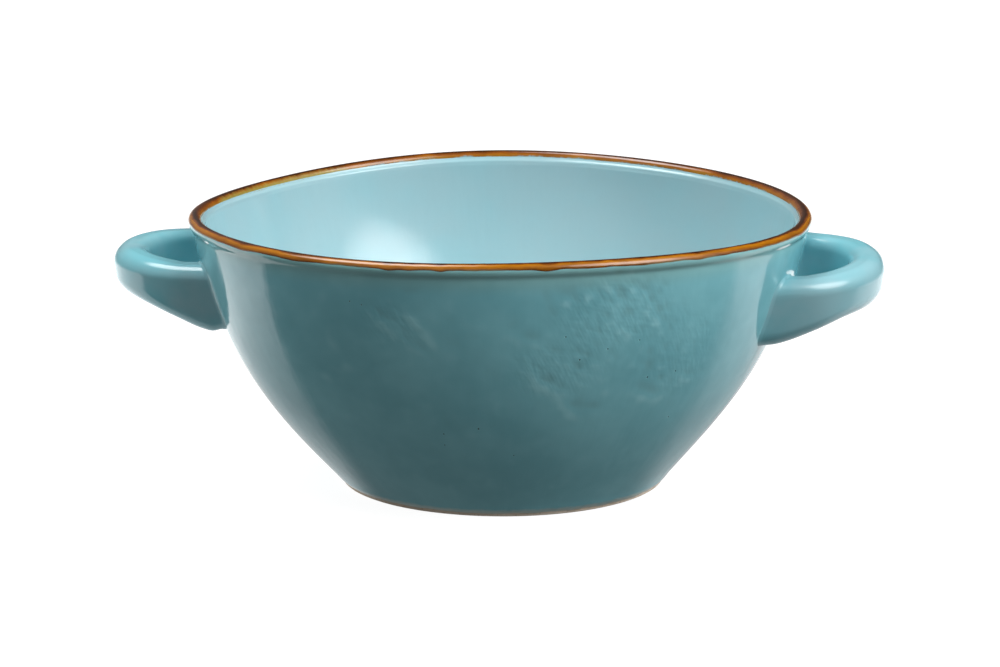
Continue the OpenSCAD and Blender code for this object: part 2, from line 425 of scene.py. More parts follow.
def unwrap_round(mesh: bpy.types.Mesh) -> None:
    """Gives a turned piece a map in tenths of a metre: along its girth, and up.

    Args:
        mesh: the piece's mesh, round the Z axis.
    """
    co = gather(mesh.vertices, "co", float, 3).reshape(-1, 3)
    corner = gather(mesh.loops, "vertex_index", int)
    first = gather(mesh.polygons, "loop_start", int)
    count = gather(mesh.polygons, "loop_total", int)
    turn = np.arctan2(co[:, 1], co[:, 0])[corner]
    turn = np.where(turn > pi / 2, turn - 2 * pi, turn)
    owner = np.repeat(np.arange(len(first)), count)
    low = np.minimum.reduceat(turn, first)[owner]
    turn = np.where(turn - low > pi, turn - 2 * pi, turn)
    uv = np.stack([(turn + 2 * pi) * GIRTH_R / 100, co[corner, 2] * 10], axis=1)
    layer = mesh.uv_layers.new(name="girth")
    layer.data.foreach_set("uv", uv.astype(np.float32).ravel())


@dataclass(frozen=True)
class Mesher:
    """Turns a bmesh into a finished object of the part.

    It holds the piece's name, the nodes of the fixed frame that the piece stands for,
    and the name of a material slot, which is not used.
    """

    name: str
    nodes: list[str]
    slot: str

    def finish(self, bm: BMesh, material: bpy.types.Material) -> bpy.types.Object:
        """Makes the object, smooth, facing outwards and riding on the bowl.

        Args:
            bm: the shape, in metres. It is freed here.
            material: the finish.

        Returns:
            The object.
        """
        bmesh.ops.recalc_face_normals(bm, faces=bm.faces)
        for face in bm.faces:
            face.smooth = True
        mesh = bpy.data.meshes.new(self.name)
        bm.to_mesh(mesh)
        bm.free()
        mesh.materials.append(material)
        piece = add_object(self.name, mesh)
        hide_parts(*self.nodes)
        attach(piece, "root")
        return piece

    def finish_turned(
        self, bm: BMesh, material: bpy.types.Material, places: np.ndarray, **marks: np.ndarray
    ) -> bpy.types.Object:
        """Sets the points of a turned shape, notes their marks and makes it an object.

        Args:
            bm: the shape. It is freed here.
            material: the finish.
            places: where each point goes at last, in metres.
            marks: numbers at each point that the finish reads, by name.

        Returns:
            The object, with its girth mapped.
        """
        layers = [bm.verts.layers.float.new(name) for name in marks]
        rows = zip(places.tolist(), *(numbers.tolist() for numbers in marks.values()))
        for v, (place, *numbers) in zip(bm.verts, rows):
            v.co = place
            for layer, number in zip(layers, numbers):
                v[layer] = number
        piece = self.finish(bm, material)
        unwrap_round(piece.data)
        return piece


@dataclass(frozen=True)
class Crease:
    """A wrinkle left in the glaze, along a path on the wall.

    Places are an angle round the bowl in degrees and a height in millimetres. A height
    below zero is a groove, and above zero a ridge. It is spread a little past its width,
    and its ends keep a share of its height.
    """

    path: tuple[tuple[float, float], ...]
    width: float
    height: float
    spread: float = 1.25
    end_share: float = 0.4

    def relief(self, girth: np.ndarray, z: np.ndarray) -> np.ndarray:
        """How far the wrinkle lifts the surface.

        Args:
            girth: how far round the bowl each place is, in millimetres.
            z: how high each place is.

        Returns:
            The lift at each place, in millimetres.
        """
        stops = [np.array([girth_at(turn), height]) for turn, height in self.path]
        here = np.stack([girth, z], axis=1)
        nearest, along, run = np.full(len(girth), np.inf), np.zeros(len(girth)), 0.0
        for start, end in zip(stops, stops[1:]):
            way = end - start
            share = np.clip((here - start) @ way / (way @ way), 0, 1)
            away = np.linalg.norm(here - start - share[:, None] * way, axis=1)
            length = float(np.linalg.norm(way))
            along = np.where(away < nearest, run + share * length, along)
            nearest = np.minimum(nearest, away)
            run += length
        ends = along / run
        fade = lerp(self.end_share, 1, np.sqrt(4 * ends * (1 - ends)))
        return self.height * hump(nearest / (self.spread * self.width)) * fade


@dataclass(frozen=True)
class Cloth:
    """A patch that coarse cloth dented in rows while the clay was soft.

    The dents' depth has an even share, a share from the crossing rows and a loose one.
    """

    centre: tuple[float, float]
    reach: tuple[float, float]
    pitch: tuple[float, float]
    slant: float
    depth: float
    climb: float = 0.12
    even_share: float = 0.2
    row_share: float = 0.45
    loose_share: float = 1.6

    def relief(self, girth: np.ndarray, z: np.ndarray) -> np.ndarray:
        """How far the dents lower the surface at places along the girth and up it.

        Args:
            girth: how far round the bowl each place is, in millimetres.
            z: how high each place is.

        Returns:
            The lift at each place, in millimetres, below zero in a dent.
        """
        u, v = girth - girth_at(self.centre[0]), z - self.centre[1]
        share = hump(np.hypot(u / self.reach[0], v / self.reach[1]) / 1.3)
        across, up = u + self.slant * v, v - self.climb * u
        rows = np.sin(2 * pi * across / self.pitch[0]) * np.sin(2 * pi * up / self.pitch[1])
        loose = swell(1.7 * across / self.pitch[0], 1.7 * up / self.pitch[1], 3)
        return -self.depth * share * (self.even_share + self.row_share * rows + self.loose_share * loose)


CREASES = (
    Crease(((282.1, 62.1), (282.8, 59.0), (284.4, 55.2)), 1.4, -0.1),
    Crease(((285.2, 58.1), (287.4, 56.8)), 2.5, 0.07),
    Crease(((286.5, 62.6), (288.0, 59.2)), 1.6, -0.11),
    Crease(((288.3, 57.7), (289.1, 55.9)), 2.0, -0.06),
    Crease(((300.8, 62.5), (302.2, 58.7), (304.4, 54.2), (307.8, 50.9)), 1.6, -0.1),
    Crease(((300.0, 59.9), (301.4, 57.1), (303.3, 53.1), (306.0, 50.0)), 1.6, 0.08),
    Crease(((293.5, 54.8), (299.4, 48.4)), 1.6, 0.07),
    Crease(((299.2, 51.4), (300.6, 50.2)), 1.7, -0.07),
    Crease(((276.2, 54.6), (276.6, 52.3)), 1.9, -0.08),
    Crease(((275.1, 51.0), (278.4, 49.0), (282.5, 47.8)), 1.6, 0.05),
    Crease(((278.7, 51.5), (281.9, 50.4)), 1.4, -0.07),
    Crease(((281.8, 47.1), (287.9, 46.2)), 1.1, -0.05),
    Crease(((286.9, 44.0), (290.4, 42.7)), 1.1, -0.07),
    Crease(((283.9, 43.1), (288.1, 41.9)), 1.4, 0.08),
    Crease(
        ((280.7, 41.5), (280.6, 38.6), (283.1, 36.9), (285.7, 35.4), (287.0, 32.9), (288.8, 30.3),
         (290.9, 28.5)), 1.6, 0.1,
    ),
    Crease(((282.2, 43.0), (283.3, 40.1), (285.4, 38.9)), 1.7, -0.1),
    Crease(((286.3, 37.8), (288.9, 37.6)), 1.4, -0.06),
    Crease(((288.0, 33.4), (295.4, 31.9)), 1.4, -0.1),
    Crease(((289.4, 40.7), (290.0, 35.9)), 1.2, 0.04),
    Crease(((302.0, 42.7), (306.1, 41.5)), 1.2, -0.09),
    Crease(((307.3, 38.0), (312.4, 36.3)), 1.2, -0.08),
    Crease(((306.5, 36.5), (310.3, 35.6)), 1.2, 0.07),
    Crease(((303.0, 36.3), (309.5, 34.2)), 1.6, -0.12),
    Crease(((302.5, 33.9), (307.3, 31.8), (310.9, 32.6)), 1.4, 0.09),
    Crease(((312.0, 37.4), (316.6, 35.5)), 1.4, 0.08),
    Crease(((311.0, 39.4), (318.2, 37.0)), 1.2, -0.07),
    Crease(((298.7, 41.8), (303.0, 39.9)), 1.4, 0.04),
    Crease(((291.9, 40.2), (295.4, 38.8)), 1.4, 0.04),
    Crease(((294.7, 35.5), (301.1, 33.1)), 1.4, 0.03),
    Crease(((249.8, 58.1), (252.9, 53.3)), 1.2, -0.06),
    Crease(((251.4, 58.6), (254.4, 54.0)), 1.1, -0.06),
    Crease(((250.5, 55.8), (255.2, 49.3)), 1.4, 0.08),
    Crease(((257.6, 55.3), (260.0, 51.7), (262.7, 47.1)), 1.6, 0.12),
    Crease(((256.5, 53.2), (261.4, 45.8)), 1.2, -0.07),
    Crease(((256.3, 49.2), (260.6, 45.0)), 1.2, 0.06),
    Crease(((264.3, 50.0), (267.2, 48.9)), 1.6, -0.05),
    Crease(((267.7, 47.4), (270.8, 43.9), (274.2, 40.3)), 1.6, -0.04),
    Crease(((257.6, 61.6), (260.1, 61.5)), 1.1, -0.08),
    Crease(((241.9, 60.7), (235.9, 51.9)), 2.0, 0.05),
    Crease(((239.7, 57.4), (235.1, 52.7)), 1.9, -0.04),
    Crease(((243.9, 48.2), (239.2, 43.3)), 2.0, 0.05),
    Crease(((244.1, 42.6), (240.2, 38.3)), 1.9, 0.04),
    Crease(((251.4, 43.6), (252.9, 43.2)), 1.2, -0.05),
    Crease(((235.2, 38.5), (238.4, 35.9)), 1.9, 0.04),
)

CLOTHS = (
    Cloth((295.5, 59.0), (12, 7), (5.7, 5.0), 0.35, 0.13),
    Cloth((303.0, 44.0), (16, 10), (4.6, 4.4), 0.15, 0.05),
    Cloth((252.5, 55.0), (3.5, 3.5), (2.4, 4.2), 0.7, 0.05),
    Cloth((288.0, 46.0), (11, 7), (5.4, 4.2), 0.2, 0.06),
    Cloth((68.0, 50.0), (14, 9), (2.9, 5.0), 0.3, 0.05),
    Cloth((118.0, 38.0), (12, 10), (3.2, 5.2), -0.3, 0.04),
)


@dataclass
class Wall:
    """The glazed bowl itself, with the wrinkles that its making left.

    Its faces crowd together at the front, where the marks are finest. Its ledges are the
    thin steps of the glaze, in below the brown band and back out under and behind it.
    """

    form: BowlForm
    section: Section
    steps: int = 390
    front: float = 275.0
    crowd: float = 0.55
    bead_r: float = 0.35
    unevenness: float = 0.07
    marks_off: float = 3.0
    relief_share: float = 0.5
    outer_ledge: float = 0.08
    crest_ledge: float = 0.05
    inner_ledge: float = 0.03

    def recess(self, s: np.ndarray) -> np.ndarray:
        """How far the clay lies under its outline, to carry the brown band.

        Args:
            s: the lengths along the section.

        Returns:
            The depth at each, in millimetres.
        """
        band = self.section.band
        edge = np.minimum(s, band - s)
        ledge = self.outer_ledge * smooth((s + 4) / 2) - self.crest_ledge * smooth((s - 1) / 2)
        ledge = ledge - self.inner_ledge * smooth((s - band) / 0.8)
        return self.form.glaze_t * smooth((edge - 0.2) / 0.6) + ledge

    def rows(self) -> list[tuple[float, float]]:
        """The section's points, from the middle of the underside round to the floor's middle.

        Returns:
            The points, each a radius and a height.
        """
        form, s0, s1 = self.form, float(self.section.run[0]), float(self.section.run[-1])
        in_r = form.foot_r - form.foot_w
        top_r, top_h, foot_h = in_r * 0.97, form.recess_h, form.foot_h
        under = [(top_r * k / 8, top_h) for k in range(8)]
        under += [(top_r - 0.6, top_h), (top_r - 0.15, top_h - 0.05), (top_r, top_h - 0.25)]
        under += [(in_r, foot_h + 0.15), (in_r + 0.15, foot_h)]
        flat = [(lerp(in_r + 0.15, form.foot_r - self.bead_r, k / 3), foot_h) for k in (1, 2, 3)]
        bead = [
            (form.foot_r - self.bead_r * (1 - sin(a)), foot_h + self.bead_r * (1 - cos(a)))
            for a in np.linspace(0.25, 1.0, 5)
        ]
        stretches = [
            (s0 + 0.6, 1.2), (s0 + 30, 0.47), (-3.0, 0.3), (self.section.band + 4, 1.4),
            (s1 - 40, 2.4), (s1, 0),
        ]
        lengths: list[float] = []
        for (start, pitch), (end, _) in zip(stretches, stretches[1:]):
            count = max(1, round((end - start) / pitch))
            lengths += [lerp(start, end, k / count) for k in range(count)]
        s = np.array(lengths)
        r, z = self.section.at(s, -self.recess(s))
        return under + flat + bead + list(zip(r.tolist(), z.tolist())) + [(0.0, top_h + form.floor_t)]

    def relief(self, a: np.ndarray, z: np.ndarray) -> np.ndarray:
        """How far wrinkles, dents and small swells lift the face.

        Args:
            a: the angles round the bowl, in radians.
            z: the heights.

        Returns:
            The lift at each place, in millimetres.
        """
        girth = np.mod(a, 2 * pi) * GIRTH_R
        bent = girth + 0.5 * swell(girth / 4, z / 4, 0)
        marks = sum(mark.relief(bent, z) for mark in CREASES + CLOTHS)
        return marks + 0.05 * swell(girth / 3.6, z / 2.6, 7)

    def build(self, finish: "BlueGlaze") -> bpy.types.Object:
        """Spins the section round the axis and sets every point on the bowl's own shape.

        Args:
            finish: the glaze.

        Returns:
            The piece.
        """
        form = self.form
        bm = turn_round(self.rows(), self.steps, closed=False)
        a, r, z = polar(bm)
        a = a - self.crowd * np.sin(a - radians(self.front))
        outside = r > self.section.outer_r(z) - 1.0
        low = (1 - smooth((z - 0.9) / 1.6)) * (r > form.foot_r - 1)
        z = z + low * (0.16 * ripple(a, 3.7, 9) + 0.07 * ripple(a, 8.1, 30))
        soft = 1 + swell(np.cos(a) * 3, np.sin(a) * 3, z / 22)
        r = r - self.unevenness * soft * ((z > self.marks_off) & (z < form.rim_h - self.marks_off))
        relief = self.relief(a, z) * outside * (z > self.marks_off)
        r = r + self.relief_share * relief
        return Mesher("glazed_wall", ["bowl_wall"], "blue_glaze").finish_turned(
            bm, finish.material("wall_glaze", True), form.place(r, z, a), relief=relief, inner=1.0 - outside
        )


@dataclass(frozen=True)
class Run:
    """A place where the brown glaze ran down before it set."""

    turn: float
    depth: float
    width: float


@dataclass
class LipBand:
    """The brown glaze over the lip, thick over the crest and run at its edges.

    It laps a little past its measured edges, and its skin ends in a bead. A hidden back
    closes it. The green run lies inside, round the angle green_turn.
    """

    form: BowlForm
    section: Section
    steps: int = 960
    rows: int = 34
    back_rows: int = 8
    back_sink: float = 0.55
    bead: float = 0.45
    sink: float = 0.3
    skin_drop: float = 0.03
    outer_lap: float = 0.12
    inner_lap: float = 0.1
    green_turn: float = 148.0
    green_half: float = 18.0
    green_fade: float = 14.0
    green_off: float = 9.0
    outer_runs: tuple[Run, ...] = (
        Run(255, 0.45, 2.2), Run(258, 0.25, 2.0), Run(264, 0.3, 1.6), Run(282.3, 0.5, 2.6),
        Run(290, 0.25, 4.0), Run(300, 0.3, 6.0), Run(311, 0.25, 3.0), Run(236, 0.3, 5.0),
        Run(222, 0.35, 4.0), Run(345, 0.4, 5.0), Run(12, 0.3, 4.0), Run(48, 0.45, 3.0),
        Run(77, 0.3, 5.0), Run(110, 0.5, 3.0), Run(150, 0.35, 4.0), Run(186, 0.3, 5.0),
    )
    inner_runs: tuple[Run, ...] = (
        Run(172, 0.4, 5.0), Run(164, 0.6, 5.0), Run(157, 1.0, 3.0), Run(153, 1.5, 4.0), Run(147, 1.2, 4.5),
        Run(140, 0.9, 5.0), Run(133, 0.6, 5.0), Run(125, 0.4, 5.0), Run(106, 0.5, 3.0), Run(94, 0.4, 3.4),
        Run(72, 0.3, 5.0), Run(50, 0.5, 4.0), Run(20, 0.5, 5.0), Run(350, 0.3, 6.0), Run(310, 0.5, 7.0),
        Run(262, 0.4, 6.0), Run(228, 0.5, 6.0), Run(200, 0.4, 6.0),
    )

    @staticmethod
    def depth(runs: tuple[Run, ...], a: np.ndarray) -> np.ndarray:
        """How far the glaze has run past its even edge at angles.

        Args:
            runs: the runs on that edge.
            a: the angles round the bowl, in radians.

        Returns:
            The depths in millimetres.
        """
        turn = np.degrees(a)
        return sum(run.depth * hump((np.mod(turn - run.turn + 180, 360) - 180) / run.width) for run in runs)

    def edges(self, a: np.ndarray) -> tuple[np.ndarray, np.ndarray]:
        """Where the band begins and ends, as lengths along the section.

        Args:
            a: the angles round the bowl, in radians.

        Returns:
            The lengths of the outer and of the inner edge at each.
        """
        outer = -self.outer_lap - self.depth(self.outer_runs, a)
        outer = outer + 0.12 * ripple(a, 1.3, 16) + 0.06 * ripple(a, 5.2, 40)
        inner = self.section.band + self.depth(self.inner_runs, a)
        inner = inner + 0.2 * ripple(a, 9.4, 14) + self.inner_lap + 0.08 * ripple(a, 2.2, 38)
        return outer, inner

    def height(self, inside: np.ndarray) -> np.ndarray:
        """How far the band's skin stands off the outline, by the distance inside its edge."""
        share = np.clip(inside / self.bead, 0, 1)
        return -self.skin_drop - self.sink * (1 - np.sqrt(1 - (1 - share) ** 2))

    def build(self, finish: "BrownGlaze") -> bpy.types.Object:
        """Spins a closed strip round the lip and fits each row between the run edges.

        Args:
            finish: the glaze.

        Returns:
            The piece.
        """
        skin = [(1 - cos(pi * k / self.rows)) / 2 for k in range(self.rows + 1)]
        shares = np.array(skin + [1 - (k + 0.5) / self.back_rows for k in range(self.back_rows)])
        bm = turn_round([(self.form.wall_r, k) for k in range(len(shares))], self.steps, closed=True)
        a, _, level = polar(bm)
        row = np.rint(level).astype(int)
        low, high = self.edges(a)
        s = lerp(low, high, shares[row])
        outer, inner = s - low, high - s
        offset = np.where(row > self.rows, -self.back_sink, self.height(np.minimum(outer, inner)))
        r, z = self.section.at(s, offset)
        off_green = smooth((np.abs(np.degrees(a) - self.green_turn) - self.green_half) / self.green_fade)
        return Mesher("lip_band", ["rim_band"], "brown_glaze").finish_turned(
            bm, finish.material("lip_glaze"), self.form.place(r, z, a),
            pool=outer, across=inner, drip=s - self.section.band - self.green_off * off_green,
        )


@dataclass
class Foot:
    """The bare turned ring that the bowl stands on."""

    form: BowlForm
    steps: int = 260
    edge_r: float = 0.4
    middle_r: float = 38.0
    wander: float = 0.05

    def build(self, finish: "BareClay") -> bpy.types.Object:
        """Spins the ring's section and dries its edge a little uneven.

        Args:
            finish: the clay.

        Returns:
            The piece.
        """
        form, edge = self.form, self.edge_r
        in_r, foot_h = form.foot_r - form.foot_w, form.foot_h
        out_r = form.foot_r - (foot_h - edge) * tan(radians(form.foot_flare))
        turns = [radians(18 * k) for k in range(6)]
        section = [(out_r + 0.28, foot_h + 0.35), (out_r + 0.17, foot_h), (out_r + 0.05, edge + 0.2)]
        section += [(out_r - edge + edge * cos(t), edge - edge * sin(t)) for t in turns]
        section += [(lerp(out_r - edge, in_r + edge, k / 5), 0.0) for k in range(1, 5)]
        section += [(in_r + edge - edge * sin(t), edge - edge * cos(t)) for t in turns]
        section += [(in_r, foot_h), (in_r + 0.3, foot_h + 0.35)]
        bm = turn_round(section, self.steps, closed=True)
        a, r, z = polar(bm)
        r = r - self.wander * (1 + ripple(a, 4.4, 20)) * np.where(r > self.middle_r, 1, -1)
        places = np.stack([r * np.cos(a) + form.lean(foot_h), r * np.sin(a), z], axis=1) * MM
        return Mesher("bare_foot", ["foot_ring"], "bare_clay").finish_turned(
            bm, finish.material("foot_clay"), places
        )


@dataclass
class Handle:
    """A loop handle: one flat-topped strap bent into half an ellipse, and its slip.

    The sizes are drawn towards +X and turned to the handle's side. The tip is the strap's
    furthest point, and its two strands run back from there to their roots in the wall.
    """

    form: BowlForm
    side: Side
    gap: float
    tilt: float
    lug_drop: float = 10.9
    lug_w: float = 53.0
    strand_t: float = 9.2
    tip_t: float = 8.8
    tip_h: float = 11.0
    root_drop: float = 7.2
    face_lean: float = 0.9
    top_edge_r: float = 3.2
    tip_edge_r: float = 3.7
    bottom_edge_r: float = 2.0
    belly_edge_r: float = 4.8
    inner_edge_r: float = 3.2
    belly: float = 0.3
    heel_lift: float = 0.0
    tip_belly: float = 0.0
    tip_lift: float = 0.0
    square: float = 0.9
    root_spread: float = 1.0
    unevenness: float = 0.09
    slip_r: float = 0.6
    stations: int = 120
    slip_stations: int = 18
    wall_rows: int = 52
    sunk: float = 2.0
    radii: list[float] = field(init=False)
    heights: list[float] = field(init=False)
    top: float = field(init=False)
    mid_z: float = field(init=False)
    strand_y: float = field(init=False)
    root: float = field(init=False)
    run: float = field(init=False)

    def __post_init__(self) -> None:
        """Works out where the strands spring from the wall."""
        curve = self.form.wall_curve()
        rows = [bezier(curve, i / self.wall_rows) for i in range(self.wall_rows + 1)]
        self.radii, self.heights = [p[0] for p in rows], [p[1] for p in rows]
        self.top = self.form.rim_h - self.lug_drop
        self.mid_z = self.top - (self.tip_h + self.root_drop) / 2
        self.strand_y = (self.lug_w - self.strand_t) / 2
        self.root = self.wall_x(self.strand_y, self.mid_z)
        self.run = self.wall_x(0, self.mid_z) + self.gap + self.tip_t / 2 - self.root

    def wall_x(self, y: float, z: float) -> float:
        """How far out the wall's face lies beside the handle's middle.

        Args:
            y: the distance off the handle's middle.
            z: the height.

        Returns:
            The distance from the bowl's axis, along the handle.
        """
        up = z / self.form.rim_h
        a = radians(self.side.value) + np.arctan2(y, np.interp(z, self.heights, self.radii))
        r = float(np.interp(z - self.form.wave(a) * up * up, self.heights, self.radii))
        return sqrt(max(0.0, r * r - y * y)) + self.form.oval / 2 * up

    def outline(self, w: float, h: float, edge_r: float, grow: float) -> list[tuple[float, float]]:
        """The strap's outline across its run.

        Args:
            w: the width of its top.
            h: its height.
            edge_r: the rounding of its outer top edge.
            grow: how much larger it is all round, where the slip covers it.

        Returns:
            Pairs of a distance outwards and one upwards.
        """
        rt, rb, ro = edge_r + grow, self.bottom_edge_r + grow, self.belly_edge_r + grow
        ri = self.inner_edge_r + grow
        top, low = grow, -h
        out, inn = w / 2 + grow, -w / 2 - grow
        out_low = out - self.face_lean * (0.35 + 0.65 * smooth((h - self.tip_h) / 4))
        corners = [
            (out - rt, top - rt, rt, 0, 0.15), (inn + ri, top - ri, ri, 90, 0.0),
            (inn + rb, low + rb, rb, 180, 0.0), (out_low - ro, low + ro, ro, 270, 0.0),
        ]
        arcs = [
            [
                (x + r * k * cos(radians(a + t)), z + r * k * sin(radians(a + t)))
                for t in range(0, 91, 10)
                for k in (lerp(1.0, cos(pi / 4) / cos(radians(t - 45)), flat),)
            ]
            for x, z, r, a, flat in corners
        ]
        points: list[tuple[float, float]] = []
        for arc, after in zip(arcs, arcs[1:] + arcs[:1]):
            (x0, z0), (x1, z1) = arc[-1], after[0]
            points += arc
            points += [(lerp(x0, x1, k / 7), lerp(z0, z1, k / 7)) for k in range(1, 7)]
        return points

    def depth(self, back: float) -> float:
        """How far the underside lies below the top.

        Args:
            back: how far back from the tip, from 0 there to 1 at the roots.

        Returns:
            The depth in millimetres.
        """
        h = self.tip_h + self.root_drop * back**2.2 * (1 - 0.1 * back**11)
        h += self.belly * float(hump((back - 0.82) / 0.16)) - self.heel_lift * smooth((back - 0.88) / 0.12)
        return h + self.tip_belly * (1 - smooth(back / 0.4))

    def ring(self, a: float, grow: float = 0.0, sunk: float = 0.0) -> list[Vector]:
        """The strap's ring of points at a turn along its half ellipse.

        Args:
            a: the turn in radians, from -pi/2 at one strand to pi/2 at the other.
            grow: how much larger it is all round.
            sunk: how far it is drawn into the wall.

        Returns:
            The points in metres, on the handle's own side.
        """
        bend, turn = abs(cos(a)) ** (2 - self.square), abs(sin(a)) ** (2 - self.square)
        n = np.array([bend / self.run, copysign(turn, a) / self.strand_y])
        out = n / np.linalg.norm(n)
        back = 1 - cos(a)
        spread = self.root_spread * back**10
        reach, aside = abs(cos(a)) ** self.square, copysign(abs(sin(a)) ** self.square, a)
        mid = np.array([self.root + self.run * reach, self.strand_y * aside]) + out * spread / 2
        w = lerp(self.tip_t, self.strand_t, back) + spread
        edge_r = lerp(self.tip_edge_r, self.top_edge_r, smooth(back / 0.8))
        hug = 1 - smooth(cos(a) / 0.45)
        turned = Matrix.Rotation(radians(self.side.value), 3, "Z")
        tilted = Matrix.Rotation(radians(self.tilt), 3, "X")
        pivot = Vector((0, 0, self.mid_z))
        points = []
        for p0, p1 in self.outline(w, self.depth(back), edge_r, grow):
            x, y = mid + p0 * out
            z = self.top + p1 + self.tip_lift * (1 - smooth(back / 0.75))
            soft = self.unevenness * noise.noise(Vector((x / 9, y / 9, z / 9 + self.side.value)))
            q = tilted @ (Vector((x, y + soft, z + soft)) - pivot) + pivot
            q.x += hug * (self.wall_x(q.y, q.z) - self.root) - 0.05 * (1 - hug) - sunk
            points.append(turned @ q * MM)
        return points

    @staticmethod
    def loft(bm: BMesh, rings: list[list[Vector]]) -> None:
        """Draws a closed tube through rings of points by extruding the first one on.

        Args:
            bm: the bmesh that takes the tube.
            rings: the rings, each with the same number of points.
        """
        verts: list[BMVert] = [bm.verts.new(p) for p in rings[0]]
        loop: list[BMEdge] = [bm.edges.new(pair) for pair in zip(verts, verts[1:] + verts[:1])]
        bmesh.ops.contextual_create(bm, geom=loop)
        for ring in rings[1:]:
            made = bmesh.ops.extrude_edge_only(bm, edges=loop)["geom"]
            new = {e for e in made if isinstance(e, BMVert)}
            verts = [next(e.other_vert(v) for e in v.link_edges if e.other_vert(v) in new) for v in verts]
            for v, p in zip(verts, ring):
                v.co = p
            loop = [
                next(e for e in v.link_edges if e.other_vert(v) == w)
                for v, w in zip(verts, verts[1:] + verts[:1])
            ]
        bmesh.ops.contextual_create(bm, geom=loop)

    def build_strap(self, finish: "BlueGlaze") -> bpy.types.Object:
        """Lofts the strap from inside the wall round to inside the wall.

        Args:
            finish: the glaze.

        Returns:
            The piece.
        """
        turns = [pi / 2 * (2 * k / self.stations - 1) for k in range(self.stations + 1)]
        turns = [t + 0.12 * sin(2 * t) for t in turns]
        rings = [self.ring(-pi / 2, sunk=self.sunk)]
        rings += [self.ring(max(-pi / 2, min(pi / 2, t))) for t in turns]
        rings += [self.ring(pi / 2, sunk=self.sunk)]
        bm = bmesh.new()
        self.loft(bm, rings)
        name = self.side.name.lower()
        return Mesher(f"{name}_handle", [f"{name}_lug"], "blue_glaze").finish(
            bm, finish.material(f"{name}_handle_glaze", False)
        )

    def build_slip(self, finish: "BlueGlaze") -> bpy.types.Object:
        """Lofts the hollow fillet of slip round both strands, where they meet the wall.

        Args:
            finish: the glaze.

        Returns:
            The piece.
        """
        bm = bmesh.new()
        for end in (-1, 1):
            rings = []
            for k in range(self.slip_stations + 1):
                far = 1 - k / self.slip_stations
                d = self.slip_r * 1.05 * far**1.6
                c = max(0.0, 1 - d / self.slip_r)
                grow = self.slip_r * (1 - sqrt(max(0.0, 1 - c * c))) - 0.05 * far
                rings.append(self.ring(end * acos(min(1.0, d / self.run)), grow, 0.16 * (1 - far) ** 2))
            rings.append(self.ring(end * pi / 2, self.slip_r + 0.5, 0.35))
            rings.append(self.ring(end * pi / 2, self.slip_r * 0.5, self.sunk))
            self.loft(bm, rings)
        name = self.side.name.lower()
        return Mesher(f"{name}_handle_slip", [f"{name}_lug_slip"], "blue_glaze").finish(
            bm, finish.material(f"{name}_slip_glaze", False)
        )


